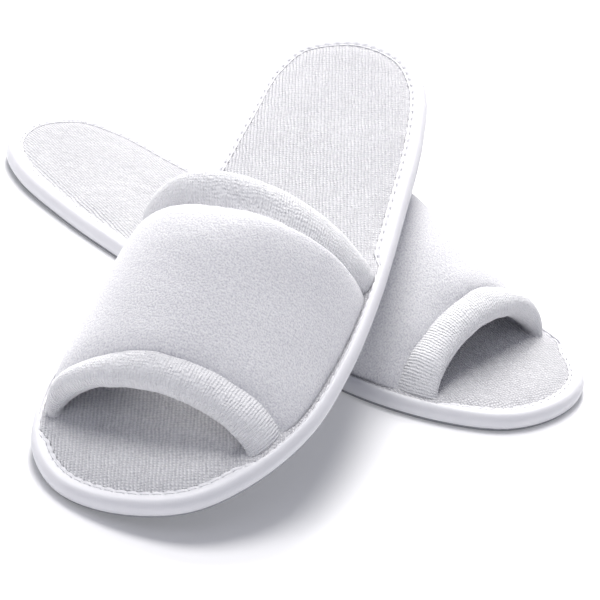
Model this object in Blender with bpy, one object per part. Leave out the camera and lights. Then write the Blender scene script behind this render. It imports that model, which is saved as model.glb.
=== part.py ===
"""A pair of padded open-toe spa slippers, the left one lying across the right one.

Each slipper has a layered foam sole with a bound edge and a padded strap over the foot
with a stuffed hem at its front and rear. The sole is split across the waist, just behind
the strap, where it flexes. Metres, +Z up. The right slipper lies flat and points to +X.
"""
import math
from collections import namedtuple

import bmesh
import bpy
import numpy as np
from mathutils import Euler, Vector

MM = 0.001
GAP = 0.3 * MM              # room kept between pieces that touch

# One slipper's own frame: +X from heel to toe, +Y to the outer side of the foot,
# +Z up, origin under the middle of the sole. This is the left slipper; the right
# one is its mirror image.
LENGTH = 285 * MM
# Share of the length from the heel, outer half-breadth and inner half-breadth.
BREADTHS = (
    (0.03, 19 * MM, 26 * MM),
    (0.10, 33 * MM, 34 * MM),
    (0.22, 42 * MM, 35 * MM),
    (0.38, 48 * MM, 36 * MM),
    (0.55, 53 * MM, 42 * MM),
    (0.70, 54 * MM, 49 * MM),
    (0.82, 50 * MM, 52 * MM),
    (0.92, 37 * MM, 45 * MM),
    (0.98, 20 * MM, 29 * MM),
)
HEEL_TIP_Y = -3 * MM
TOE_TIP_Y = -5.5 * MM

OUTSOLE_THICKNESS = 2 * MM
MIDSOLE_THICKNESS = 2.2 * MM
INSOLE_THICKNESS = 1.6 * MM
SOLE_TOP = OUTSOLE_THICKNESS + MIDSOLE_THICKNESS + INSOLE_THICKNESS + 2 * GAP
FOOT_Z = SOLE_TOP + GAP     # where the pieces of the upper stand on the insole

TAPE_THICKNESS = 0.8 * MM
TAPE_FOOT = 1 * MM          # the tape's lower edge stays this far off the ground
TAPE_EDGE_RADIUS = 2 * MM
TAPE_WIDTH = 6.5 * MM       # on top, round the toe and heel
TAPE_WIDTH_AT_STRAP = 3 * MM
TAPE_NARROWING = 8 * MM     # length over which the tape changes width
THREAD_THICKNESS = 0.7 * MM
THREAD_FROM_TAPE_EDGE = 1.1 * MM

FLEX_X = -32 * MM           # where the sole bends, just behind the strap
FLEX_Z = SOLE_TOP + GAP + THREAD_THICKNESS + 0.2 * MM
FLEX_HALF_GAP = GAP / 2

# A curve over the foot from sole edge to sole edge: where it starts on the inner and
# the outer side, how high and how far back its crown is, how far the crown is moved
# to the inner side, how square its shoulders are, and how far its feet are inset.
Arch = namedtuple("Arch", "inner_x outer_x rise lean shift squareness inset")
STRAP_REAR = Arch(18.5 * MM, 19 * MM, 48 * MM, -19 * MM, 0, 0.93, 3.5 * MM)
STRAP_FRONT = Arch(98.5 * MM, 99 * MM, 28 * MM, 4.3 * MM, 4 * MM, 1.25, 4.9 * MM)
COLLAR_CREST = Arch(12 * MM, 4.5 * MM, 58 * MM, -16.5 * MM, 5 * MM, 0.97, 3 * MM)
TOE_LIP = Arch(107 * MM, 112 * MM, 17 * MM, 6 * MM, 3 * MM, 0.95, 5 * MM)
STRAP_PUFF = 8 * MM         # extra rise of the strap between its two edges
PUFF_POWER = 0.45           # under 1, so that the puff is highest towards the rear

COVER_THICKNESS = 0.9 * MM
FOAM_THICKNESS = 3.6 * MM
LINING_THICKNESS = 0.8 * MM
HEM_THICKNESS = 9 * MM
HEM_COVER_THICKNESS = 1 * MM
STRAP_THICKNESS = COVER_THICKNESS + FOAM_THICKNESS + LINING_THICKNESS + 2 * GAP
COLLAR_TUCK = 0.8           # share of the strap's cut edge that an upright collar covers
TOE_HEM_PROUD = 1.2 * MM    # how far the toe hem stands above the strap

# The left slipper's place over the right one. Its toe is on the ground and its sole
# lies on the right slipper's collar.
LEFT_PLACE = Vector((39.8 * MM, -66.4 * MM, 42.9 * MM))
LEFT_TURN_DEG = (11.3, 15.8, -66.7)

OUTLINE_COUNT = 60
STRAP_COUNT = 14            # facets across the foot
STRAP_ROWS = 6              # facets along the foot
HEM_SIDES = 8

FINISHES = {                # colour and roughness
    "outsole": ((0.70, 0.70, 0.73), 0.7),
    "midsole": ((0.92, 0.92, 0.90), 0.9),
    "insole": ((0.90, 0.90, 0.92), 0.95),
    "binding": ((0.95, 0.95, 0.97), 0.5),
    "binding_thread": ((0.80, 0.80, 0.84), 0.6),
    "strap_cover": ((0.88, 0.88, 0.93), 0.9),
    "strap_foam": ((0.96, 0.95, 0.88), 0.9),
    "strap_lining": ((0.86, 0.86, 0.90), 0.9),
    "collar": ((0.94, 0.94, 0.97), 0.95),
    "collar_filling": ((0.96, 0.95, 0.88), 0.9),
    "toe_hem": ((0.94, 0.94, 0.97), 0.95),
    "toe_hem_filling": ((0.96, 0.95, 0.88), 0.9),
}


def clear_scene():
    """Remove every object that is already in the scene."""
    for old in list(bpy.data.objects):
        bpy.data.objects.remove(old, do_unlink=True)


def smooth_closed_curve(points, count):
    """Evenly spaced points along a closed centripetal Catmull-Rom curve."""
    points = np.asarray(points, float)
    steps = 12
    dense = []
    for i in range(len(points)):
        before, start, end, after = (points[(i + k - 1) % len(points)] for k in range(4))
        t1 = np.linalg.norm(start - before) ** 0.5
        t2 = t1 + np.linalg.norm(end - start) ** 0.5
        t3 = t2 + np.linalg.norm(after - end) ** 0.5
        for t in np.linspace(t1, t2, steps, endpoint=False):
            a = (before * (t1 - t) + start * t) / t1
            b = (start * (t2 - t) + end * (t - t1)) / (t2 - t1)
            c = (end * (t3 - t) + after * (t - t2)) / (t3 - t2)
            d = (a * (t2 - t) + b * t) / t2
            e = (b * (t3 - t) + c * (t - t1)) / (t3 - t1)
            dense.append((d * (t2 - t) + e * (t - t1)) / (t2 - t1))
    dense = np.array(dense + dense[:1])
    travel = np.concatenate([[0], np.cumsum(np.linalg.norm(np.diff(dense, axis=0), axis=1))])
    wanted = np.linspace(0, travel[-1], count, endpoint=False)
    return np.column_stack([np.interp(wanted, travel, dense[:, k]) for k in range(2)])


def sole_outline(count):
    """The sole's outer edge, from the heel along the outer side to the toe and back."""
    outer = [(LENGTH * (share - 0.5), width) for share, width, _ in BREADTHS]
    inner = [(LENGTH * (share - 0.5), -width) for share, _, width in BREADTHS]
    heel = [(-LENGTH / 2, HEEL_TIP_Y)]
    toe = [(LENGTH / 2, TOE_TIP_Y)]
    return smooth_closed_curve(heel + outer + toe + inner[::-1], count)


def inward(points):
    """Unit vectors that point into a closed outline which runs clockwise from above."""
    along = np.roll(points, -1, axis=0) - np.roll(points, 1, axis=0)
    along /= np.linalg.norm(along, axis=1)[:, None]
    return np.column_stack([along[:, 1], -along[:, 0]])


def tape_width(x):
    """Width of the binding's top flange, narrower beside the strap."""
    rear = COLLAR_CREST.outer_x - 2 * MM
    front = TOE_LIP.outer_x
    outside = np.maximum(rear - x, x - front)
    blend = np.clip(outside / TAPE_NARROWING, 0, 1)
    blend = blend * blend * (3 - 2 * blend)
    return TAPE_WIDTH_AT_STRAP + (TAPE_WIDTH - TAPE_WIDTH_AT_STRAP) * blend


def edge_y(x, side):
    """The sole edge's y at x, on the outer side (+1) or the inner side (-1)."""
    points = sole_outline(4 * OUTLINE_COUNT)
    chosen = points[points[:, 1] * side > 0]
    chosen = chosen[np.argsort(chosen[:, 0])]
    return np.interp(x, chosen[:, 0], chosen[:, 1])


def arch_curve(arch):
    """Points of an arch from its outer foot to its inner foot, just above the insole."""
    angle = np.linspace(0, math.pi, STRAP_COUNT + 1)
    swing = np.abs(np.sin(angle))
    across = np.sign(np.cos(angle)) * np.abs(np.cos(angle)) ** arch.squareness
    outer_y = edge_y(arch.outer_x, 1) - arch.inset
    inner_y = edge_y(arch.inner_x, -1) + arch.inset
    x = (arch.outer_x + arch.inner_x) / 2 + (arch.outer_x - arch.inner_x) / 2 * across
    y = (outer_y + inner_y) / 2 + (outer_y - inner_y) / 2 * across
    z = FOOT_Z + arch.rise * swing ** arch.squareness
    return np.column_stack([x - arch.lean * swing, y - arch.shift * swing, z])


def strap_grid():
    """Points and outward normals of the strap's outer surface, row by row."""
    rows = []
    for share in np.linspace(0, 1, STRAP_ROWS + 1) ** 1.4:
        mixed = Arch(*(a + (b - a) * share for a, b in zip(STRAP_REAR, STRAP_FRONT)))
        puff = STRAP_PUFF * math.sin(math.pi * share ** PUFF_POWER)
        rows.append(arch_curve(mixed._replace(rise=mixed.rise + puff)))
    grid = np.array(rows)
    along = np.gradient(grid, axis=0)
    across = np.gradient(grid, axis=1)
    normal = np.cross(across, along)
    normal /= np.linalg.norm(normal, axis=2)[:, :, None]
    return grid, normal


def loft(rings, closed=False, flipped=()):
    """Skin a run of equal closed rings; a closed run joins its last ring to its first.

    Each four-sided patch is two triangles. The patches at the ring positions in `flipped`
    are split the other way, so that layers which face each other are split alike.
    """
    mesh = bmesh.new()
    loops = [[mesh.verts.new(point) for point in ring] for ring in rings]
    nexts = loops[1:] + loops[:1] if closed else loops[1:]
    for first, second in zip(loops, nexts):
        for i in range(len(first)):
            j = (i + 1) % len(first)
            if i in flipped:
                mesh.faces.new((first[i], first[j], second[i]))
                mesh.faces.new((first[j], second[j], second[i]))
            else:
                mesh.faces.new((first[i], first[j], second[j]))
                mesh.faces.new((first[i], second[j], second[i]))
    return mesh


def open_edges(mesh):
    return [edge for edge in mesh.edges if len(edge.link_faces) == 1]


def trim(mesh, point, outward):
    """Cut away the side of a plane that `outward` points to, leaving the cut open."""
    parts = mesh.verts[:] + mesh.edges[:] + mesh.faces[:]
    bmesh.ops.bisect_plane(mesh, geom=parts, dist=1e-7, plane_co=point, plane_no=outward,
                           clear_outer=True)
    return mesh


def cap(mesh):
    """Close every open loop with a flat face."""
    bmesh.ops.holes_fill(mesh, edges=open_edges(mesh), sides=0)
    return mesh


def flatten_feet(rings):
    """Set the first and last ring down level, just above the insole."""
    for ring in (rings[0], rings[-1]):
        for point in ring:
            point[2] = FOOT_Z
    return rings


def slab(outline, bottom, top):
    """A flat layer of the sole."""
    rings = [[(x, y, z) for x, y in outline] for z in (bottom, top)]
    return cap(loft(rings))


def edge_sweep(section):
    """Sweep a section round the sole; section(i) lists (inset, height) at outline point i."""
    outline = sole_outline(OUTLINE_COUNT)
    into = inward(outline)
    rings = []
    for i, (point, normal) in enumerate(zip(outline, into)):
        rings.append([(*(point + normal * inset), z) for inset, z in section(i)])
    return loft(rings, closed=True)


def outsole():
    outline = sole_outline(OUTLINE_COUNT)
    core = outline + inward(outline) * (TAPE_THICKNESS + GAP)
    return slab(core, 0, OUTSOLE_THICKNESS)


def midsole():
    outline = sole_outline(OUTLINE_COUNT)
    core = outline + inward(outline) * (TAPE_THICKNESS + GAP)
    bottom = OUTSOLE_THICKNESS + GAP
    return slab(core, bottom, bottom + MIDSOLE_THICKNESS)


def insole():
    outline = sole_outline(OUTLINE_COUNT)
    inset = tape_width(outline[:, 0]) + GAP
    return slab(outline + inward(outline) * inset[:, None], SOLE_TOP - INSOLE_THICKNESS, SOLE_TOP)


def binding():
    """The tape round the sole's edge: up the side, over a round edge, onto the top."""
    widths = tape_width(sole_outline(OUTLINE_COUNT)[:, 0])

    def section(i):
        radius = TAPE_EDGE_RADIUS
        shoulder = []
        for angle in np.radians((0, 45, 90)):
            shoulder.append((radius * (1 - math.cos(angle)),
                             SOLE_TOP - radius * (1 - math.sin(angle))))
        under = SOLE_TOP - TAPE_THICKNESS
        inside = [(widths[i], SOLE_TOP), (widths[i], under), (TAPE_THICKNESS, under),
                  (TAPE_THICKNESS, TAPE_FOOT)]
        return [(0, TAPE_FOOT)] + shoulder + inside

    return edge_sweep(section)


def binding_thread():
    """The row of stitching, as one thread lying along the tape's inner edge."""
    widths = tape_width(sole_outline(OUTLINE_COUNT)[:, 0])
    half = THREAD_THICKNESS / 2

    def section(i):
        middle = widths[i] - THREAD_FROM_TAPE_EDGE
        low = SOLE_TOP + GAP
        return [(middle - half, low), (middle, low + THREAD_THICKNESS), (middle + half, low)]

    return edge_sweep(section)


def strap_layer(depth, thickness):
    """One layer of the strap, `depth` under its outer surface."""
    grid, normal = strap_grid()
    outside = grid - normal * depth
    inside = grid - normal * (depth + thickness)
    rings = []
    for j in range(grid.shape[1]):
        rings.append(list(outside[:, j]) + list(inside[::-1, j]))
    return cap(loft(flatten_feet(rings), flipped=range(len(grid), 2 * len(grid))))


def strap_cover():
    return strap_layer(0, COVER_THICKNESS)


def strap_foam():
    return strap_layer(COVER_THICKNESS + GAP, FOAM_THICKNESS)


def strap_lining():
    return strap_layer(COVER_THICKNESS + FOAM_THICKNESS + 2 * GAP, LINING_THICKNESS)


# A hem runs between the strap's edge, its root, and its own free edge, its tip. `row` is
# the strap's row at that edge, and the middle of the hem's oval section lies `sunk` below
# the line from root to tip.
Hem = namedtuple("Hem", "root tip row sunk")
COLLAR = Hem(STRAP_REAR, COLLAR_CREST, 0, HEM_THICKNESS / 2 + GAP)
TOE_HEM = Hem(STRAP_FRONT, TOE_LIP, -1, HEM_THICKNESS / 2 - TOE_HEM_PROUD)


def hem_rings(hem, shrink):
    """The hem's oval sections from foot to foot, made smaller all round by `shrink`."""
    root = arch_curve(hem.root)
    tip = arch_curve(hem.tip)
    run = np.gradient(root + tip, axis=0)
    out = tip - root
    width = np.linalg.norm(out, axis=1)
    out /= width[:, None]
    face = np.cross(run, out)
    face /= np.linalg.norm(face, axis=1)[:, None]
    face *= np.sign(np.dot(face[0], root[0] - root[-1]))
    # Where the hem turns up from the strap it also covers part of the strap's cut edge,
    # and where it turns down it starts clear of that edge.
    bend = np.sum(out * strap_grid()[1][hem.row], axis=1)
    reach = STRAP_THICKNESS * np.where(bend > 0, COLLAR_TUCK * bend ** 2, bend) - GAP
    rings = []
    for i in range(len(root)):
        half_width = (width[i] + reach[i]) / 2
        centre = root[i] + out[i] * (half_width - reach[i]) - face[i] * hem.sunk
        ring = []
        for angle in np.linspace(0, 2 * math.pi, HEM_SIDES, endpoint=False):
            along = (half_width - shrink) * math.cos(angle)
            up = (HEM_THICKNESS / 2 - shrink) * math.sin(angle)
            point = centre + out[i] * along + face[i] * up
            point[2] = max(point[2], FOOT_Z + shrink)
            ring.append(point)
        rings.append(ring)
    return flatten_feet(rings)


def hem_cover(hem):
    """A tube of fabric, open at its two feet."""
    outside = hem_rings(hem, 0)
    inside = hem_rings(hem, HEM_COVER_THICKNESS)[::-1]
    strips = [[ring[k] for ring in outside + inside] for k in range(HEM_SIDES)]
    return loft(strips, closed=True)


def hem_filling(hem):
    rings = hem_rings(hem, HEM_COVER_THICKNESS + GAP)
    return cap(loft(rings, flipped=range(HEM_SIDES)))


SOLE_PIECES = {
    "outsole": outsole,
    "midsole": midsole,
    "insole": insole,
    "binding": binding,
    "binding_thread": binding_thread,
}
UPPER_PIECES = {
    "strap_cover": strap_cover,
    "strap_foam": strap_foam,
    "strap_lining": strap_lining,
    "collar": lambda: hem_cover(COLLAR),
    "collar_filling": lambda: hem_filling(COLLAR),
    "toe_hem": lambda: hem_cover(TOE_HEM),
    "toe_hem_filling": lambda: hem_filling(TOE_HEM),
}


def finish_material(name, piece):
    colour, roughness = FINISHES[piece]
    material = bpy.data.materials.new(name)
    material.use_nodes = True
    shader = material.node_tree.nodes["Principled BSDF"]
    shader.inputs["Base Color"].default_value = (*colour, 1)
    shader.inputs["Roughness"].default_value = roughness
    material.diffuse_color = (*colour, 1)
    return material


def place(mesh, name, piece, parent, mirrored, origin=Vector()):
    """Turn a bmesh into a named object whose origin is at `origin` in the slipper."""
    bmesh.ops.translate(mesh, vec=-origin, verts=mesh.verts)
    if mirrored:
        bmesh.ops.scale(mesh, vec=(1, -1, 1), verts=mesh.verts)
    bmesh.ops.recalc_face_normals(mesh, faces=mesh.faces)
    data = bpy.data.meshes.new(name)
    mesh.to_mesh(data)
    mesh.free()
    data.materials.append(finish_material(name, piece))
    made = bpy.data.objects.new(name, data)
    made.parent = parent
    bpy.context.collection.objects.link(made)
    return made


def empty(name, parent, location=Vector(), turn_deg=(0, 0, 0)):
    made = bpy.data.objects.new(name, None)
    made.empty_display_size = 20 * MM
    made.location = location
    made.rotation_euler = Euler([math.radians(a) for a in turn_deg])
    made.parent = parent
    bpy.context.collection.objects.link(made)
    return made


def slipper(side, parent, mirrored):
    """One slipper: its upper and forefoot on `parent`, its heel on the flex axis."""
    axis = Vector((FLEX_X, 0, FLEX_Z))
    heel = empty(f"{side}_heel_axis", parent, axis)
    for piece, make in SOLE_PIECES.items():
        front = cap(trim(make(), (FLEX_X + FLEX_HALF_GAP, 0, 0), (-1, 0, 0)))
        rear = cap(trim(make(), (FLEX_X - FLEX_HALF_GAP, 0, 0), (1, 0, 0)))
        place(front, f"{side}_{piece}_front", piece, parent, mirrored)
        place(rear, f"{side}_{piece}_heel", piece, heel, mirrored, axis)
    for piece, make in UPPER_PIECES.items():
        place(make(), f"{side}_{piece}", piece, parent, mirrored)


def stand_on_ground(root):
    """Move the pair so that the middle of its box's underside is at the origin."""
    bpy.context.view_layer.update()
    corners = []
    for made in bpy.data.objects:
        if made.type == "MESH":
            corners += [made.matrix_world @ vertex.co for vertex in made.data.vertices]
    corners = np.array(corners)
    low, high = corners.min(axis=0), corners.max(axis=0)
    root.location = (-(low[0] + high[0]) / 2, -(low[1] + high[1]) / 2, -low[2])
    bpy.context.view_layer.update()


def main():
    clear_scene()
    pair = empty("pair", None)
    slipper("right", empty("right_slipper", pair), mirrored=True)
    slipper("left", empty("left_slipper", pair, LEFT_PLACE, LEFT_TURN_DEG), mirrored=False)
    stand_on_ground(pair)


main()
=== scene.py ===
"""The look of the pair of padded spa slippers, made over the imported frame.

Every soft piece is a fine mesh with its own fabric. Metres, +Z up, right slipper along +X.
"""
import math
from collections import namedtuple

import bpy
import numpy as np
from mathutils import Euler, Matrix, Vector, noise
from mathutils.geometry import delaunay_2d_cdt


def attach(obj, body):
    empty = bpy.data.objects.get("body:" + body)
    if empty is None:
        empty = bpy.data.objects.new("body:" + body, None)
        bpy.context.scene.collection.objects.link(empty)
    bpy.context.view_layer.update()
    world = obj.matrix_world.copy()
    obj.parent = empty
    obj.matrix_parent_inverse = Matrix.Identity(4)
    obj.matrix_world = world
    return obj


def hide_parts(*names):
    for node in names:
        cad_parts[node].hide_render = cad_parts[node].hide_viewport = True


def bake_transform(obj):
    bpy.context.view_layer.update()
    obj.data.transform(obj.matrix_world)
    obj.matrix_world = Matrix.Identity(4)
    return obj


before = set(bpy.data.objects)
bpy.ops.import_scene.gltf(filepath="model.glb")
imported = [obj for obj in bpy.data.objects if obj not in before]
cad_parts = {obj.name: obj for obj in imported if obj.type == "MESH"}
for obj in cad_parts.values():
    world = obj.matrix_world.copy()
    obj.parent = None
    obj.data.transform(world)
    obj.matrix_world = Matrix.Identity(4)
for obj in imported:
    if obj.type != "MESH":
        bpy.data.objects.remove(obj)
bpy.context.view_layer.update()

MM = 0.001

# One slipper's own frame: +X from heel to toe, +Y to the outer side of the foot, +Z up.
# This is the left slipper; the right one is its mirror image.
LENGTH = 285 * MM
# Share of the length from the heel, outer half-breadth and inner half-breadth.
BREADTHS = (
    (0.03, 19 * MM, 26 * MM),
    (0.10, 33 * MM, 34 * MM),
    (0.22, 42 * MM, 35 * MM),
    (0.38, 48 * MM, 36 * MM),
    (0.55, 53 * MM, 42 * MM),
    (0.70, 54 * MM, 49 * MM),
    (0.82, 50 * MM, 52 * MM),
    (0.92, 37 * MM, 45 * MM),
    (0.98, 20 * MM, 29 * MM),
)
HEEL_TIP_Y = -3 * MM
TOE_TIP_Y = -5.5 * MM
SOLE_TOP = 6.4 * MM
FOOT_Z = 6.7 * MM
OUTSOLE_TOP = 2 * MM
MIDSOLE_TOP = 4.5 * MM
SIDE_TAPE = 1.1 * MM        # tape and clearance outside the sole's core

# The binding tape's top flange is narrower beside the strap. TAPE_FOOT is its lower edge.
TAPE_WIDTH = 6.5 * MM
TAPE_WIDTH_AT_STRAP = 3.2 * MM
TAPE_NARROWING = 10 * MM
TAPE_FOOT = 1.2 * MM
TAPE_ROUNDING = 2.3 * MM    # radius of its bend from the wall to the top
TAPE_BULGE = 0.35 * MM      # of its wall
TAPE_CROWN = 0.7 * MM       # how far its rounded top stands over the insole's edge
STITCH_PULL = 0.75 * MM     # how far a stitch draws it down
STITCHES = 138              # round one sole, 4.7 mm apart
STITCH_INSET = 1.3 * MM     # from the tape's inner edge
POINTS_PER_STITCH = 6
THREAD_RADIUS = 0.27 * MM
INSOLE_CROWN = 0.9 * MM     # how far the insole plumps up from its edge

FLEX_X = -32 * MM

# Where each curve over the foot starts on the inner and the outer side, how high its crown
# is, how far the crown leans back (forwards if negative) and how far it is moved inwards,
# how round its shoulders are (squarer under 1) and how far its feet are inset.
Arch = namedtuple("Arch", "inner_x outer_x rise lean shift roundness inset")
STRAP_REAR = Arch(18.5 * MM, 19 * MM, 48 * MM, -19 * MM, 0, 0.93, 3.5 * MM)
STRAP_FRONT = Arch(98.5 * MM, 99 * MM, 28 * MM, 4.3 * MM, 4 * MM, 1.25, 4.9 * MM)
COLLAR_CREST = Arch(12 * MM, 4.5 * MM, 58 * MM, -16.5 * MM, 5 * MM, 0.97, 3 * MM)
TOE_LIP = Arch(107 * MM, 112 * MM, 17 * MM, 6 * MM, 3 * MM, 0.95, 5 * MM)
STRAP_PUFF = 8 * MM         # how far the strap stands over straight lines between its edges
PUFF_POWER = 0.45           # under 1 it stands highest near the rear
PAD_THICKNESS = 4.9 * MM    # cover and foam together
LINING_GAP = 0.4 * MM
LINING_THICKNESS = 0.7 * MM
LINING_TUCK = 3 * MM        # how deep the lining's rear edge is sewn into the collar
LINING_REACH = 0.3          # and how far over the collar's breadth, as a share of it
STRAP_THICKNESS = 5.9 * MM  # cover, foam and lining, for the hems that reach round them
COLLAR_TUCK = 0.8           # at most this share of the strap's thickness tucks the collar under it
GAP = 0.3 * MM              # between pieces that touch
REAR_DIP = 2.2 * MM         # how far the padding is drawn down into the collar's seam
REAR_ROUNDING = 6 * MM
FRONT_DIP = 3.0 * MM        # and into the toe hem's seam
FRONT_ROUNDING = 10 * MM

KNIT_LEAN_DEG = 17          # the insole's ribs lean this far from its length

# Soft unevenness of each padded piece: the lumps' size, their height and a seed.
INSOLE_LUMPS = (22 * MM, 0.5 * MM, 3)
PAD_LUMPS = (20 * MM, 0.55 * MM, 1)
PAD_DIMPLES = (3.2 * MM, 0.16 * MM, 2)
HEM_LUMPS = (9 * MM, 0.45 * MM, 5)
HEM_DIMPLES = (2.6 * MM, 0.14 * MM, 6)

# The covers of the padded pieces are blown out by a short cloth simulation.
SEAM_STITCH = 6 * MM        # between the stitches that sew the hems to the strap
SEAM_HOLD = 7 * MM          # how far from a seam the stitches hold the strap's cover
SEAM_SLACK = 0.65           # how free the cover is at a seam, half-way between two stitches
HEM_SEAM_HOLD = 0.35        # share of a hem's breadth over which its stitches hold it
HEM_SEAM_FIXED = 0.1        # and over which it is fast to the strap all along
FOOT_HOLD = 8 * MM          # how far from the sole the covers are held
CLOTH_MASS = 0.05
CLOTH_FRAMES = 12
CLOTH_CAP = 0.9 * MM        # no point of the cover is blown out further than this
STRAP_PRESSURE = 900

# A hem runs from the strap's edge, its root, to its free edge, its tip. It stands `proud` of
# the line between them and laps back over the strap by `lap`. Towards its feet it is
# pinched to a share of its thickness. `row` is the strap's row that it is sewn to.
Hem = namedtuple("Hem", "name root tip row thickness proud lap pinch pressure")
COLLAR = Hem("collar", STRAP_REAR, COLLAR_CREST, 0, 9 * MM, -GAP, 0, 0.65, 250)
TOE_HEM = Hem("toe_hem", STRAP_FRONT, TOE_LIP, -1, 10.5 * MM, 2.4 * MM, 3 * MM, 0.55, 900)
PINCH_LENGTH = 16 * MM
HEM_PLUMP = 0.12            # how much fuller a hem is towards its free edge

ARCH_COUNT = 150            # steps across the foot
STRAP_ROWS = 60
ROW_CROWDING = 1.4          # over 1 the strap's rows are closer together near the rear
TURNED_ROWS = 8             # rows in which the strap turns down at its rear edge
NORMAL_PASSES = 8           # of smoothing, so that the strap's edges turn in without folds
HEM_SIDES = 32

RIGHT_PLACE = Matrix.Translation((0.045 * MM, 69.546 * MM, 0)) @ Matrix.Diagonal((1, -1, 1, 1))
LEFT_TURN = Euler([math.radians(a) for a in (11.3, 15.8, -66.7)])
LEFT_PLACE = (Matrix.Translation((39.845 * MM, 3.146 * MM, 42.9 * MM))
              @ LEFT_TURN.to_matrix().to_4x4())
PLACES = {"right": RIGHT_PLACE, "left": LEFT_PLACE}
HEEL_SET = {"right": 2.0 * MM, "left": -1.5 * MM}   # the heel end's curl, up or down

CAMERA_TARGET = Vector((22.06 * MM, 61.22 * MM, 0))
CAMERA_TURN_DEG = (34.308, 27.61, 10.77)            # azimuth, elevation and roll
CAMERA_DISTANCE = 1.22955
CAMERA_LENS_MM = 182.3


# ---------------------------------------------------------------- camera and light

def add_camera():
    azimuth, elevation, roll = map(math.radians, CAMERA_TURN_DEG)
    back = Vector((math.sin(azimuth) * math.cos(elevation),
                   -math.cos(azimuth) * math.cos(elevation), math.sin(elevation)))
    level = Vector((math.cos(azimuth), math.sin(azimuth), 0))
    upright = back.cross(level)
    right = level * math.cos(roll) + upright * math.sin(roll)
    up = upright * math.cos(roll) - level * math.sin(roll)
    data = bpy.data.cameras.new("camera")
    data.lens = CAMERA_LENS_MM
    data.sensor_width = 36
    data.clip_end = 20
    camera = bpy.data.objects.new("camera", data)
    bpy.context.scene.collection.objects.link(camera)
    turn = Matrix((right, up, back)).transposed().to_4x4()
    camera.matrix_world = Matrix.Translation(CAMERA_TARGET + back * CAMERA_DISTANCE) @ turn
    bpy.context.scene.camera = camera


def add_lamp(name, place, size, watts, colour):
    data = bpy.data.lights.new(name, "AREA")
    data.shape = "DISK"
    data.size = size
    data.energy = watts
    data.color = colour
    lamp = bpy.data.objects.new(name, data)
    bpy.context.scene.collection.objects.link(lamp)
    lamp.location = place
    lamp.rotation_euler = (-Vector(place)).to_track_quat("-Z", "Y").to_euler()


def add_studio():
    world = bpy.data.worlds.new("studio")
    world.use_nodes = True
    sky = world.node_tree.nodes["Background"]
    sky.inputs["Color"].default_value = (0.81, 0.83, 1.0, 1)
    sky.inputs["Strength"].default_value = 0.27
    bpy.context.scene.world = world
    bpy.context.scene.view_settings.view_transform = "Standard"
    add_lamp("key", (-0.82, 1.03, 1.25), 0.7, 27, (1.0, 0.98, 0.96))
    add_lamp("top", (-0.4, 0.3, 1.9), 1.0, 30, (1.0, 0.985, 0.975))
    add_lamp("fill", (0.35, -1.25, 1.7), 1.3, 3, (0.97, 0.96, 1.0))


def add_floor():
    half = 4.0
    data = bpy.data.meshes.new("floor")
    corners = [(-half, -half), (half, -half), (half, half), (-half, half)]
    data.from_pydata([(x, y, -0.4 * MM) for x, y in corners], [], [(0, 1, 2, 3)])
    floor = bpy.data.objects.new("floor", data)
    bpy.context.scene.collection.objects.link(floor)
    paint = bpy.data.materials.new("floor_paint")
    paint.use_nodes = True
    shader = paint.node_tree.nodes["Principled BSDF"]
    shader.inputs["Base Color"].default_value = (0.86, 0.86, 0.87, 1)
    shader.inputs["Roughness"].default_value = 0.9
    shader.inputs["Emission Color"].default_value = (1, 1, 1, 1)
    shader.inputs["Emission Strength"].default_value = 0.15
    data.materials.append(paint)


# ---------------------------------------------------------------- fabrics

def new_material(name, roughness, sheen=0.0, sheen_roughness=0.5):
    material = bpy.data.materials.new(name)
    material.use_nodes = True
    shader = material.node_tree.nodes["Principled BSDF"]
    shader.inputs["Roughness"].default_value = roughness
    shader.inputs["Sheen Weight"].default_value = sheen
    shader.inputs["Sheen Roughness"].default_value = sheen_roughness
    shader.inputs["Specular IOR Level"].default_value = 0.25
    return material, material.node_tree, shader


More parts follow.
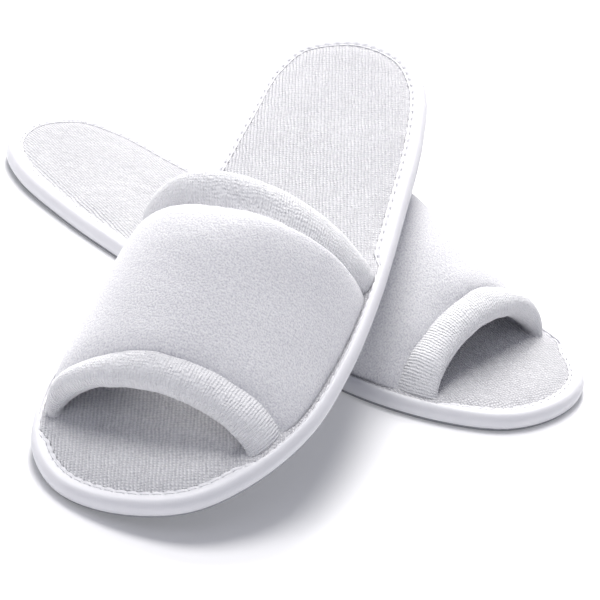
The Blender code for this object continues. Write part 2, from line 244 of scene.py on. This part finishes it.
class Weave:
    """Builds a fabric's nodes from the position on the cloth, in metres."""

    def __init__(self, tree):
        self.tree = tree
        place = tree.nodes.new("ShaderNodeAttribute")
        place.attribute_name = "cloth"
        self.place = place.outputs["Vector"]
        split = tree.nodes.new("ShaderNodeSeparateXYZ")
        tree.links.new(self.place, split.inputs[0])
        self.across, self.along = split.outputs[0], split.outputs[1]

    def math(self, kind, a, b=None, clamp=False):
        node = self.tree.nodes.new("ShaderNodeMath")
        node.operation = kind
        node.use_clamp = clamp
        for socket, value in zip(node.inputs, (a, b)):
            if isinstance(value, (int, float)):
                socket.default_value = value
            elif value is not None:
                self.tree.links.new(value, socket)
        return node.outputs[0]

    def speckle(self, size, detail=2.0):
        """Noise with lumps of about `size` metres, from 0 to 1."""
        scale = self.tree.nodes.new("ShaderNodeVectorMath")
        scale.operation = "MULTIPLY"
        scale.inputs[1].default_value = [0.5 / size] * 3
        self.tree.links.new(self.place, scale.inputs[0])
        node = self.tree.nodes.new("ShaderNodeTexNoise")
        node.inputs["Scale"].default_value = 1.0
        node.inputs["Detail"].default_value = detail
        self.tree.links.new(scale.outputs[0], node.inputs["Vector"])
        return node.outputs["Fac"]

    def ribs(self, coordinate, pitch, wander):
        """Rows of loops `pitch` metres apart, from 0 in the valleys to 1 on the crests."""
        drift = self.math("MULTIPLY", self.speckle(3 * MM), wander)
        moved = self.math("ADD", coordinate, drift)
        wave = self.math("SINE", self.math("MULTIPLY", moved, 2 * math.pi / pitch))
        return self.math("ADD", self.math("MULTIPLY", wave, 0.5), 0.5)

    def mixed(self, factor, low, high):
        node = self.tree.nodes.new("ShaderNodeMix")
        node.data_type = "RGBA"
        node.inputs[6].default_value = (*low, 1)
        node.inputs[7].default_value = (*high, 1)
        self.tree.links.new(factor, node.inputs[0])
        return node.outputs[2]

    def bump(self, shader, height, depth):
        node = self.tree.nodes.new("ShaderNodeBump")
        node.inputs["Strength"].default_value = 1.0
        node.inputs["Distance"].default_value = depth
        self.tree.links.new(height, node.inputs["Height"])
        self.tree.links.new(node.outputs[0], shader.inputs["Normal"])


def rib_terry(name, low, high, pitch, depth, rib_share, fuzz):
    """Terry knit: rows of small loops along the cloth, with a fuzzy, mottled pile. Its colour
    carries painted shade, darker in the hollows of the ribs, loops and pile and lighter on their
    crests.
    """
    material, tree, shader = new_material(name, 0.92, 0.3)
    weave = Weave(tree)
    ribs = weave.ribs(weave.across, pitch, 1.3 * MM)
    loops = weave.ribs(weave.along, pitch * 0.95, 3.0 * MM)
    pile = weave.speckle(fuzz, 2)
    knit = weave.math("MULTIPLY", ribs, weave.math("ADD", weave.math("MULTIPLY", loops, 0.6), 0.4))
    height = weave.math("ADD", weave.math("MULTIPLY", knit, rib_share), pile)
    cloudy = weave.speckle(14 * MM)
    # Painted shade: the heights of the ribs, loops and pile also set the colour, darker and
    # slightly bluer in their hollows; the 14 mm clouds are random tone.
    tone = weave.math("ADD", weave.math("MULTIPLY", knit, 0.75 * rib_share),
                      weave.math("MULTIPLY", pile, 1.3))
    tone = weave.math("ADD", tone, weave.math("MULTIPLY", cloudy, 0.4))
    tone = weave.math("SUBTRACT", tone, 0.55, clamp=True)
    tree.links.new(weave.mixed(tone, low, high), shader.inputs["Base Color"])
    weave.bump(shader, height, depth)
    return material


def velour(name, low, high):
    """Short dense pile with a painted sparkle, painted highlights on its fine tips, and soft
    clouds where it has been brushed.
    """
    material, tree, shader = new_material(name, 0.85, 0.35, 0.4)
    weave = Weave(tree)
    fine = weave.speckle(0.36 * MM, 3)
    tufts = weave.speckle(1.0 * MM, 1)
    brushed = weave.speckle(18 * MM, 2)
    height = weave.math("ADD", fine, weave.math("MULTIPLY", tufts, 0.3))
    # Painted sparkle: the heights of the fine pile and the tufts also set the colour, with painted
    # highlights on their tips and painted shade between them; the brushed clouds are random tone.
    tone = weave.math("ADD", weave.math("MULTIPLY", fine, 2.8),
                      weave.math("MULTIPLY", tufts, 0.5))
    tone = weave.math("ADD", tone, weave.math("MULTIPLY", brushed, 0.4))
    tone = weave.math("SUBTRACT", tone, 1.25, clamp=True)
    tree.links.new(weave.mixed(tone, low, high), shader.inputs["Base Color"])
    rough = weave.math("ADD", weave.math("MULTIPLY", fine, 0.6), 0.35, clamp=True)
    tree.links.new(rough, shader.inputs["Roughness"])
    weave.bump(shader, height, 0.35 * MM)
    return material


def satin(name, low, high):
    """Smooth tape with a fine cross weave."""
    material, tree, shader = new_material(name, 0.42, 0.1)
    shader.inputs["Specular IOR Level"].default_value = 0.45
    weave = Weave(tree)
    threads = weave.ribs(weave.across, 0.55 * MM, 0.1 * MM)
    crossing = weave.ribs(weave.along, 0.45 * MM, 0.1 * MM)
    cloudy = weave.speckle(6 * MM)
    height = weave.math("MULTIPLY", weave.math("ADD", threads, crossing), 0.5)
    # Painted shade between the threads: the weave's height also sets the colour, lighter on the
    # thread crests; the clouds are random tone.
    tone = weave.math("ADD", weave.math("MULTIPLY", height, 0.3),
                      weave.math("MULTIPLY", cloudy, 0.8), clamp=True)
    tree.links.new(weave.mixed(tone, low, high), shader.inputs["Base Color"])
    rough = weave.math("ADD", weave.math("MULTIPLY", cloudy, 0.3), 0.3, clamp=True)
    tree.links.new(rough, shader.inputs["Roughness"])
    weave.bump(shader, height, 0.05 * MM)
    return material


def twisted_thread(name, low, high):
    material, tree, shader = new_material(name, 0.55, 0.1)
    weave = Weave(tree)
    slanted = weave.math("ADD", weave.across, weave.along)
    twist = weave.ribs(slanted, 0.5 * MM, 0.05 * MM)
    # Painted shade in the twist's grooves: the colour follows the twist's bump and is darker in
    # the grooves.
    tree.links.new(weave.mixed(twist, low, high), shader.inputs["Base Color"])
    weave.bump(shader, twist, 0.08 * MM)
    return material


def foam(name, low, high, cell):
    material, tree, shader = new_material(name, 0.9)
    weave = Weave(tree)
    cells = weave.speckle(cell, 3)
    # Painted shade in the pores: the colour follows the cells' bump and is darker in their
    # hollows.
    tree.links.new(weave.mixed(cells, low, high), shader.inputs["Base Color"])
    weave.bump(shader, cells, 0.2 * MM)
    return material


FABRICS = {
    "insole": rib_terry("insole_terry", (0.53, 0.53, 0.56), (0.84, 0.84, 0.85),
                        1.35 * MM, 0.5 * MM, 1.1, 0.5 * MM),
    "strap": velour("strap_velour", (0.70, 0.695, 0.735), (1.0, 1.0, 1.0)),
    "lining": velour("lining_knit", (0.58, 0.58, 0.62), (0.80, 0.80, 0.83)),
    "hem": rib_terry("hem_terry", (0.86, 0.86, 0.88), (1.0, 1.0, 1.0),
                     1.15 * MM, 0.65 * MM, 0.5, 0.6 * MM),
    "binding": satin("binding_satin", (0.80, 0.80, 0.83), (0.90, 0.90, 0.92)),
    "thread": twisted_thread("thread", (0.80, 0.80, 0.83), (0.93, 0.93, 0.94)),
    "midsole": foam("midsole_foam", (0.78, 0.78, 0.76), (0.92, 0.92, 0.90), 0.6 * MM),
    "outsole": foam("outsole_sheet", (0.26, 0.27, 0.29), (0.42, 0.43, 0.46), 0.9 * MM),
}


# ---------------------------------------------------------------- curves of one slipper

def smooth_closed_curve(points, count):
    """Evenly spaced points along a closed centripetal Catmull-Rom curve."""
    points = np.asarray(points, float)
    steps = 40
    dense = []
    for i in range(len(points)):
        before, start, end, after = (points[(i + k - 1) % len(points)] for k in range(4))
        t1 = np.linalg.norm(start - before) ** 0.5
        t2 = t1 + np.linalg.norm(end - start) ** 0.5
        t3 = t2 + np.linalg.norm(after - end) ** 0.5
        for t in np.linspace(t1, t2, steps, endpoint=False):
            a = (before * (t1 - t) + start * t) / t1
            b = (start * (t2 - t) + end * (t - t1)) / (t2 - t1)
            c = (end * (t3 - t) + after * (t - t2)) / (t3 - t2)
            d = (a * (t2 - t) + b * t) / t2
            e = (b * (t3 - t) + c * (t - t1)) / (t3 - t1)
            dense.append((d * (t2 - t) + e * (t - t1)) / (t2 - t1))
    dense = np.array(dense + dense[:1])
    travel = np.concatenate([[0], np.cumsum(np.linalg.norm(np.diff(dense, axis=0), axis=1))])
    wanted = np.linspace(0, travel[-1], count, endpoint=False)
    return np.column_stack([np.interp(wanted, travel, dense[:, k]) for k in range(2)])


def sole_outline(count):
    """The sole's outer edge, from the heel along the outer side to the toe and back."""
    outer = [(LENGTH * (share - 0.5), width) for share, width, _ in BREADTHS]
    inner = [(LENGTH * (share - 0.5), -width) for share, _, width in BREADTHS]
    heel = [(-LENGTH / 2, HEEL_TIP_Y)]
    toe = [(LENGTH / 2, TOE_TIP_Y)]
    return smooth_closed_curve(heel + outer + toe + inner[::-1], count)


def inward(points):
    """Unit vectors that point into a closed outline which runs clockwise from above."""
    along = np.roll(points, -2, axis=0) - np.roll(points, 2, axis=0)
    along /= np.linalg.norm(along, axis=1)[:, None]
    return np.column_stack([along[:, 1], -along[:, 0]])


def eased(t):
    t = np.clip(t, 0, 1)
    return t * t * (3 - 2 * t)


def rounded(t):
    """Rises from 0 to 1 along a quarter circle as t goes from 0 to 1."""
    return np.sqrt(1 - (1 - np.clip(t, 0, 1)) ** 2)


def tape_width(x):
    """Width of the binding's top flange, narrower beside the strap."""
    outside = np.maximum(COLLAR_CREST.outer_x - 2 * MM - x, x - TOE_LIP.outer_x)
    return (TAPE_WIDTH_AT_STRAP
            + (TAPE_WIDTH - TAPE_WIDTH_AT_STRAP) * eased(outside / TAPE_NARROWING))


EDGE = sole_outline(STITCHES * POINTS_PER_STITCH)
EDGE_IN = inward(EDGE)
EDGE_TRAVEL = np.concatenate([[0], np.cumsum(np.linalg.norm(np.diff(EDGE, axis=0), axis=1))])


def edge_y(x, side):
    """The sole edge's y at x, on the outer side (+1) or the inner side (-1)."""
    chosen = EDGE[EDGE[:, 1] * side > 0]
    chosen = chosen[np.argsort(chosen[:, 0])]
    return np.interp(x, chosen[:, 0], chosen[:, 1])


def arch_curve(arch):
    """Points of an arch from its outer foot to its inner foot, just above the insole."""
    angle = np.linspace(0, math.pi, ARCH_COUNT + 1)
    swing = np.abs(np.sin(angle))
    across = np.sign(np.cos(angle)) * np.abs(np.cos(angle)) ** arch.roundness
    outer_y = edge_y(arch.outer_x, 1) - arch.inset
    inner_y = edge_y(arch.inner_x, -1) + arch.inset
    x = (arch.outer_x + arch.inner_x) / 2 + (arch.outer_x - arch.inner_x) / 2 * across
    y = (outer_y + inner_y) / 2 + (outer_y - inner_y) / 2 * across
    z = FOOT_Z + arch.rise * swing ** arch.roundness
    return np.column_stack([x - arch.lean * swing, y - arch.shift * swing, z])


def even_rows(rows):
    """Respace each row of points evenly along its length."""
    spaced = []
    for row in rows:
        travel = np.concatenate([[0], np.cumsum(np.linalg.norm(np.diff(row, axis=0), axis=1))])
        wanted = np.linspace(0, travel[-1], len(row))
        spaced.append(np.column_stack([np.interp(wanted, travel, row[:, k]) for k in range(3)]))
    return np.array(spaced)


def strap_grid():
    """The strap's outer surface, row by row: points, outward normals and the underside's."""
    rows = []
    for share in np.linspace(0, 1, STRAP_ROWS + 1) ** ROW_CROWDING:
        mixed = Arch(*(a + (b - a) * share for a, b in zip(STRAP_REAR, STRAP_FRONT)))
        puff = STRAP_PUFF * math.sin(math.pi * share ** PUFF_POWER)
        rows.append(arch_curve(mixed._replace(rise=mixed.rise + puff)))
    grid = even_rows(rows)
    normal = np.cross(np.gradient(grid, axis=1), np.gradient(grid, axis=0))
    normal /= np.linalg.norm(normal, axis=2)[:, :, None]
    for _ in range(NORMAL_PASSES):
        normal[1:-1] += 0.25 * (normal[:-2] + normal[2:] - 2 * normal[1:-1])
        normal[:, 1:-1] += 0.25 * (normal[:, :-2] + normal[:, 2:] - 2 * normal[:, 1:-1])
    normal /= np.linalg.norm(normal, axis=2)[:, :, None]
    # The underside stays level up to the rear edge, where the outer surface turns down.
    level = np.repeat(normal[[TURNED_ROWS]], TURNED_ROWS, axis=0)
    return grid, normal, np.concatenate([level, normal[TURNED_ROWS:]])


def lumps(points, kind):
    """Smooth seeded noise at points of one slipper, for soft unevenness."""
    size, amount, seed = kind
    shift = Vector((seed * 7.3, seed * 3.1, seed * 5.7))
    flat = points.reshape(-1, 3)
    values = [noise.noise(Vector(p) / size + shift) for p in flat]
    return np.array(values).reshape(points.shape[:-1]) * amount


def travel_along(points, axis):
    """Distance along a grid of points on one axis, from its middle."""
    steps = np.linalg.norm(np.diff(points, axis=axis), axis=-1)
    start = np.zeros_like(np.take(steps, [0], axis=axis))
    travel = np.concatenate([start, np.cumsum(steps, axis=axis)], axis=axis)
    middle = np.take(travel, [travel.shape[axis] // 2], axis=axis)
    return travel - middle


# ---------------------------------------------------------------- meshes

def settle(side, points):
    """The slight curl of the sole towards the heel."""
    reach = np.clip((FLEX_X - points[..., 0]) / (LENGTH / 2 + FLEX_X), 0, 1)
    moved = points.copy()
    moved[..., 2] += HEEL_SET[side] * reach ** 2
    return moved


def signed_volume(points, faces):
    """Six times the volume inside the faces. It is negative if they face inwards."""
    triangles = [face[:3] for face in faces]
    # The few faces with more corners are the ends of tubes. They count by one triangle.
    triangles += [(face[0], face[2], face[3]) for face in faces if len(face) == 4]
    a, b, c = points[np.array(triangles)].transpose(1, 0, 2)
    return np.sum(a * np.cross(b, c))


def make_piece(side, name, points, faces, cloth, fabric):
    """A mesh piece from points in its slipper's own frame, with cloth positions on it."""
    place = np.array(PLACES[side])
    world = settle(side, points) @ place[:3, :3].T + place[:3, 3]
    if signed_volume(world, faces) < 0:
        faces = [tuple(reversed(face)) for face in faces]
    data = bpy.data.meshes.new(f"{side}_{name}_look")
    data.from_pydata(world.tolist(), [], faces)
    data.validate()
    data.shade_smooth()
    field = data.attributes.new("cloth", "FLOAT_VECTOR", "POINT")
    field.data.foreach_set("vector", np.asarray(cloth, np.float32).ravel())
    data.materials.append(FABRICS[fabric])
    made = bpy.data.objects.new(f"{side}_{name}_look", data)
    bpy.context.scene.collection.objects.link(made)
    return made


def ring_faces(count, sides, closed=False, offset=0):
    """Quads between rings of `sides` points each."""
    faces = []
    for r in range(count if closed else count - 1):
        for s in range(sides):
            t = (s + 1) % sides
            n = (r + 1) % count
            faces.append((offset + r * sides + s, offset + r * sides + t,
                          offset + n * sides + t, offset + n * sides + s))
    return faces


def tube(side, name, rings, cloth, fabric, closed=False):
    """A skin over rings of points; an open run has its two end rings filled."""
    rings = np.asarray(rings)
    count, sides = rings.shape[:2]
    points = rings.reshape(-1, 3)
    cloth = np.asarray(cloth).reshape(-1, 3)
    faces = ring_faces(count, sides, closed)
    if not closed:
        start = (count - 1) * sides
        faces.append(tuple(reversed(range(sides))))
        faces.append(tuple(range(start, start + sides)))
    return make_piece(side, name, points, faces, cloth, fabric)


def plate(edge, spacing):
    """Points and triangles that fill an outline evenly. The outline's points come first."""
    fills = [edge]
    into = inward(edge)
    for inset in (0.6 * MM, 1.4 * MM, 2.6 * MM, 4.2 * MM):
        fills.append((edge + into * inset)[::1 if inset < 2 * MM else 2])
    low, high = edge.min(axis=0), edge.max(axis=0)
    row_height = 0.87 * spacing     # of equal-sided triangles
    for row, y in enumerate(np.arange(low[1], high[1], row_height)):
        xs = np.arange(low[0], high[0], spacing) + (row % 2) * spacing / 2
        grid = np.column_stack([xs, np.full(len(xs), y)])
        away = np.linalg.norm(grid[:, None] - edge[None], axis=2)
        nearest = away.argmin(axis=1)
        inside = np.sum((grid - edge[nearest]) * into[nearest], axis=1) > 0
        fills.append(grid[inside & (away.min(axis=1) > 5.6 * MM)])
    points = np.vstack(fills)
    loop = [list(range(len(edge)))]
    flat, _, faces, *_ = delaunay_2d_cdt([Vector(p) for p in points], [], loop, 1, 1e-7)
    assert len(flat) == len(points)
    return points, [tuple(face) for face in faces]


PLATES = {}


def sole_layer(side, name, inset, bottom, top, fabric, crown=0.0):
    """A layer of the sole. `crown` makes its top plump up from the edge."""
    edge = EDGE[::2] + EDGE_IN[::2] * inset[:, None]
    if name not in PLATES:
        PLATES[name] = plate(edge, 2.6 * MM)
    flat, triangles = PLATES[name]
    count, rim = len(flat), len(edge)
    height = np.full(count, float(top))
    if crown:
        away = np.array([np.linalg.norm(edge - p, axis=1).min() for p in flat])
        height += crown * (eased(away / (5 * MM)) - 0.1)
        raised = np.column_stack([flat, height])
        height += lumps(raised, INSOLE_LUMPS) * eased(away / (9 * MM))
    points = np.vstack([np.column_stack([flat, height]),
                        np.column_stack([flat, np.full(count, float(bottom))])])
    faces = triangles + [tuple(count + i for i in reversed(face)) for face in triangles]
    turn = rim_turn(triangles)
    for i in range(rim):
        j = (i + 1) % rim
        wall = (i, i + count, j + count, j)
        faces.append(wall if turn > 0 else wall[::-1])
    lean = math.radians(KNIT_LEAN_DEG)
    across = points[:, 1] * math.cos(lean) - points[:, 0] * math.sin(lean)
    along = points[:, 0] * math.cos(lean) + points[:, 1] * math.sin(lean)
    cloth = np.column_stack([across, along, points[:, 2]])
    return make_piece(side, name, points, faces, cloth, fabric)


def rim_turn(triangles):
    """+1 if walls listed top, bottom, bottom, top along the outline suit these triangles."""
    for face in triangles:
        for a, b in zip(face, face[1:] + face[:1]):
            if (a, b) == (0, 1):
                return 1
            if (a, b) == (1, 0):
                return -1
    return 1


def binding(side):
    """The tape round the edge: puffed over the top, drawn down at every needle hole."""
    count = len(EDGE)
    width = tape_width(EDGE[:, 0])
    phase = np.arange(count) / POINTS_PER_STITCH
    pull = (0.5 + 0.5 * np.cos(2 * math.pi * phase)) ** 2   # 1 at the needle holes
    # The tape's section, as insets from the sole's edge and heights, up the wall first.
    profile = []
    for z in np.linspace(TAPE_FOOT, SOLE_TOP - TAPE_ROUNDING, 4):
        bulge = TAPE_BULGE * math.sin(math.pi * (z - TAPE_FOOT) / (SOLE_TOP - TAPE_FOOT))
        profile.append((np.full(count, -bulge), np.full(count, z)))
    for angle in np.radians((20, 40, 60, 80)):
        inset = TAPE_ROUNDING * (1 - math.cos(angle)) - 0.25 * MM * math.cos(angle)
        top = SOLE_TOP + TAPE_CROWN * math.sin(angle) ** 2
        height = top - TAPE_ROUNDING * (1 - math.sin(angle))
        profile.append((np.full(count, inset), np.full(count, height)))
    hole = width - STITCH_INSET
    for share in (0.0, 0.3, 0.55, 0.75, 0.9, 1.0):
        place = TAPE_ROUNDING + (hole - TAPE_ROUNDING) * share
        drawn_down = (STITCH_PULL * pull + 0.15 * MM) * share ** 4
        profile.append((place, SOLE_TOP + TAPE_CROWN * (1 - 0.55 * share ** 2) - drawn_down))
    # Beyond the stitch line the tape's edge lifts a little and scallops between holes.
    profile.append((width - 0.5 * MM, SOLE_TOP + (0.38 - 0.3 * pull) * MM))
    scalloped = width - 0.3 * MM * pull
    profile.append((scalloped, SOLE_TOP + (0.22 - 0.15 * pull) * MM))
    profile.append((scalloped, np.full(count, SOLE_TOP - 0.35 * MM)))
    # Its hidden inner face, back down to the foot.
    for inset, height in ((1.9 * MM, SOLE_TOP - 1.1 * MM), (0.9 * MM, SOLE_TOP - 2.1 * MM),
                          (0.45 * MM, TAPE_FOOT)):
        profile.append((np.full(count, inset), np.full(count, height)))
    sections = np.array([np.column_stack([EDGE + EDGE_IN * inset[:, None], height])
                         for inset, height in profile])
    rings = sections.transpose(1, 0, 2)
    over = np.array([np.concatenate([[0], np.cumsum(np.linalg.norm(np.diff(r, axis=0), axis=1))])
                     for r in rings])
    cloth = np.dstack([np.repeat(EDGE_TRAVEL[:, None], over.shape[1], 1), over,
                       np.zeros_like(over)])
    return tube(side, "binding", rings, cloth, "binding", closed=True)


def stitching(side):
    """Lock stitches: one short plump thread between each two needle holes."""
    sides, steps = 7, 7
    width = tape_width(EDGE[:, 0])
    line = EDGE + EDGE_IN * (width - STITCH_INSET)[:, None]
    count = len(EDGE)
    points, faces, cloth = [], [], []
    for k in range(STITCHES):
        first = k * POINTS_PER_STITCH
        share = np.linspace(0.12, 0.88, steps)
        place = first + share * POINTS_PER_STITCH
        low = np.floor(place).astype(int)
        part = (place - low)[:, None]
        path = line[low % count] * (1 - part) + line[(low + 1) % count] * part
        ahead = path[-1] - path[0]
        ahead /= np.linalg.norm(ahead)
        beside = np.array([-ahead[1], ahead[0], 0])
        start = len(points)
        for i, t in enumerate(np.linspace(0, 1, steps)):
            swell = math.sin(math.pi * (0.08 + 0.84 * t)) ** 0.5
            radius = THREAD_RADIUS * swell
            centre = np.array([*path[i], SOLE_TOP + 0.04 * MM + 0.14 * MM * swell])
            for s in range(sides):
                angle = 2 * math.pi * s / sides
                points.append(centre + beside * radius * math.cos(angle)
                              + np.array([0, 0, radius * math.sin(angle)]))
                cloth.append((EDGE_TRAVEL[first] + t * 3.6 * MM, radius * angle, 0))
        faces += ring_faces(steps, sides, offset=start)
        faces.append(tuple(start + s for s in range(sides))[::-1])
        faces.append(tuple(start + (steps - 1) * sides + s for s in range(sides)))
    return make_piece(side, "stitching", np.array(points), faces, cloth, "thread")


def hem_edges(hem):
    """A hem's two edges, the unit vectors across it and out of its face, and its width."""
    root, tip = even_rows([arch_curve(hem.root), arch_curve(hem.tip)])
    out = tip - root
    width = np.linalg.norm(out, axis=1)
    out /= width[:, None]
    face = np.cross(np.gradient(root + tip, axis=0), out)
    face /= np.linalg.norm(face, axis=1)[:, None]
    face *= np.sign(np.dot(face[0], root[0] - root[-1]))
    return root, tip, out, face, width


def swell_as_cloth(piece, free, pressure):
    """Blow a stuffed piece's cover out as cloth where `free` is 1. It is sewn where it is 0."""
    data = piece.data
    before = np.array([vertex.co for vertex in data.vertices])
    free = np.concatenate([free.ravel(), np.zeros(len(before) - free.size)])
    sewn = piece.vertex_groups.new(name="sewn")
    for index, share in enumerate(free):
        sewn.add([index], float(1 - share), "REPLACE")
    cloth = piece.modifiers.new("cloth", "CLOTH")
    rules = cloth.settings
    rules.quality = 4
    rules.mass = CLOTH_MASS
    rules.vertex_group_mass = sewn.name
    rules.use_pressure = True
    rules.uniform_pressure_force = pressure
    rules.effector_weights.gravity = 0
    cloth.collision_settings.use_collision = False
    cloth.point_cache.frame_start = 1
    cloth.point_cache.frame_end = CLOTH_FRAMES
    scene = bpy.context.scene
    for frame_number in range(1, CLOTH_FRAMES + 1):
        scene.frame_set(frame_number)
    shaped = piece.evaluated_get(bpy.context.evaluated_depsgraph_get())
    after = np.array([vertex.co for vertex in shaped.data.vertices])
    piece.modifiers.remove(cloth)
    piece.vertex_groups.remove(sewn)
    scene.frame_set(1)
    move = after - before
    length = np.linalg.norm(move, axis=1)
    # A soft cap keeps the folds' shape but lets no point go further than CLOTH_CAP.
    move *= (CLOTH_CAP * np.tanh(length / CLOTH_CAP) / np.maximum(length, 1e-9))[:, None]
    data.vertices.foreach_set("co", (before + move * free[:, None]).ravel())
    data.update()


def sewn_at_stitches(travel, from_seam):
    """How free the cover is: held at each stitch, and freer between them and off the seam."""
    off_stitch = 0.5 - 0.5 * np.cos(2 * math.pi * travel / SEAM_STITCH)
    return 1 - (1 - eased(from_seam)) * (1 - SEAM_SLACK * off_stitch)


def strap_pad(side, grid, normal, level):
    """The padded strap, with a rounded edge at the front and rear, hidden by the hems."""
    from_rear = np.cumsum(np.linalg.norm(np.diff(grid, axis=0, prepend=grid[:1]), axis=2), axis=0)
    from_front = from_rear[-1] - from_rear
    rise = (lumps(grid, PAD_LUMPS) + lumps(grid, PAD_DIMPLES)
            - REAR_DIP * (1 - rounded(from_rear / REAR_ROUNDING))
            - FRONT_DIP * (1 - rounded(from_front / FRONT_ROUNDING)))
    soft = grid + normal * rise[..., None]
    inside = grid - level * PAD_THICKNESS
    rings = np.concatenate([soft, inside[::-1]], axis=0).transpose(1, 0, 2)
    rings[0, :, 2] = FOOT_Z
    rings[-1, :, 2] = FOOT_Z
    rings[..., 2] = np.maximum(rings[..., 2], FOOT_Z)
    across = travel_along(grid, 1)
    along = travel_along(grid, 0)
    flat = np.dstack([across, along, np.zeros_like(across)])
    cloth = np.concatenate([flat, flat[::-1]], axis=0).transpose(1, 0, 2)
    made = tube(side, "strap", rings, cloth, "strap")
    to_foot = across.max(axis=1, keepdims=True) - np.abs(across)
    from_seam = np.minimum(from_rear, from_front) / SEAM_HOLD
    free = eased(to_foot / FOOT_HOLD) * sewn_at_stitches(across, from_seam)
    free[[0, -1]] = 0
    swell_as_cloth(made, np.concatenate([free, np.zeros_like(free)]).T, STRAP_PRESSURE)
    return made


def strap_lining(side, grid, level):
    """The knit that lines the strap and is sewn in under the collar, with its flat size."""
    depth = PAD_THICKNESS + LINING_GAP
    root, _, out, face, width = hem_edges(COLLAR)
    tucked = root + out * width[:, None] * LINING_REACH - face * LINING_TUCK
    upper = np.concatenate([tucked[None], (grid - level * depth)[2:-2]])
    lower = np.concatenate([(tucked - face * LINING_THICKNESS)[None],
                            (grid - level * (depth + LINING_THICKNESS))[2:-2]])
    rings = np.concatenate([upper, lower[::-1]], axis=0).transpose(1, 0, 2)
    rings[..., 2] = np.maximum(rings[..., 2], FOOT_Z)
    across = travel_along(upper, 1)
    along = travel_along(upper, 0)
    flat = np.dstack([across, along, np.zeros_like(across)])
    cloth = np.concatenate([flat, flat[::-1]], axis=0).transpose(1, 0, 2)
    made = tube(side, "strap_lining", rings, cloth, "lining")
    patches = np.linalg.norm(np.cross(np.diff(upper, axis=0)[:, :-1],
                                      np.diff(upper, axis=1)[:-1]), axis=2)
    size = (float(np.ptp(across, axis=1).max()), float(np.ptp(along, axis=0).max()))
    return made, size, float(patches.sum())


def hem_roll(side, hem, normal):
    """A stuffed roll of terry along an edge of the strap."""
    root, tip, out, face, width = hem_edges(hem)
    bend = np.sum(out * normal[hem.row], axis=1)
    reach = STRAP_THICKNESS * np.where(bend > 0, COLLAR_TUCK * bend ** 2, bend) - GAP
    reach = reach + hem.lap
    travel = travel_along((root + tip)[None] / 2, 1)[0]
    to_foot = travel.max() - np.abs(travel)
    thickness = hem.thickness * (hem.pinch + (1 - hem.pinch) * eased(to_foot / PINCH_LENGTH))
    proud = hem.proud * eased(to_foot / PINCH_LENGTH)
    rings, cloth = [], []
    for i in range(len(root)):
        half = (width[i] + reach[i]) / 2
        sunk = thickness[i] / 2 - proud[i]
        centre = root[i] + out[i] * (half - reach[i]) - face[i] * sunk
        ring = []
        for angle in np.linspace(0, 2 * math.pi, HEM_SIDES, endpoint=False):
            plump = 1 + HEM_PLUMP * math.cos(angle)
            point = (centre + out[i] * half * math.cos(angle)
                     + face[i] * thickness[i] / 2 * plump * math.sin(angle))
            ring.append(point)
            from_tip = angle if angle <= math.pi else angle - 2 * math.pi
            mean_radius = (half + hem.thickness / 2) / 2
            cloth.append((travel[i], mean_radius * from_tip, 0))
        rings.append(ring)
    rings = np.array(rings)
    middle = rings.mean(axis=1, keepdims=True)
    away = rings - middle
    away /= np.linalg.norm(away, axis=2)[..., None]
    rings += away * (lumps(rings, HEM_LUMPS) + lumps(rings, HEM_DIMPLES))[..., None]
    rings[..., 2] = np.maximum(rings[..., 2], FOOT_Z)
    rings[0, :, 2] = FOOT_Z
    rings[-1, :, 2] = FOOT_Z
    made = tube(side, hem.name, rings, cloth, "hem")
    angle = np.linspace(0, 2 * math.pi, HEM_SIDES, endpoint=False)
    from_seam = (0.5 + 0.5 * np.cos(angle))[None]
    sewn = sewn_at_stitches(travel[:, None], from_seam / HEM_SEAM_HOLD)
    free = eased(to_foot / FOOT_HOLD)[:, None] * sewn * eased(from_seam / HEM_SEAM_FIXED)
    swell_as_cloth(made, free, hem.pressure)
    return made


# ---------------------------------------------------------------- the pair

def bend_with_sole(piece):
    """Bakes the piece's placing into its mesh; the piece is not bent at the flex line."""
    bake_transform(piece)


def dress(side):
    tape = tape_width(EDGE[::2, 0])
    core = np.full(len(EDGE[::2]), SIDE_TAPE)
    layers = {
        "outsole": sole_layer(side, "outsole", core * 0.5, 0, OUTSOLE_TOP, "outsole"),
        "midsole": sole_layer(side, "midsole", core, OUTSOLE_TOP + GAP, MIDSOLE_TOP,
                              "midsole"),
        "insole": sole_layer(side, "insole", tape - 0.05 * MM, MIDSOLE_TOP + GAP,
                             SOLE_TOP, "insole", crown=INSOLE_CROWN),
        "binding": binding(side),
        "binding_thread": stitching(side),
    }
    for node, piece in layers.items():
        bend_with_sole(piece)
        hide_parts(f"{side}_{node}_front", f"{side}_{node}_heel")

    grid, normal, level = strap_grid()
    pad = strap_pad(side, grid, normal, level)
    lining, size, area = strap_lining(side, grid, level)
    collar = hem_roll(side, COLLAR, normal)
    toe_hem = hem_roll(side, TOE_HEM, normal)
    for piece, nodes in ((pad, ("strap_cover", "strap_foam")),
                         (lining, ("strap_lining",)),
                         (collar, ("collar", "collar_filling")),
                         (toe_hem, ("toe_hem", "toe_hem_filling"))):
        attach(piece, f"{side}_slipper")
        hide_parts(*(f"{side}_{node}" for node in nodes))


add_camera()
add_studio()
add_floor()
for each_side in PLACES:
    dress(each_side)
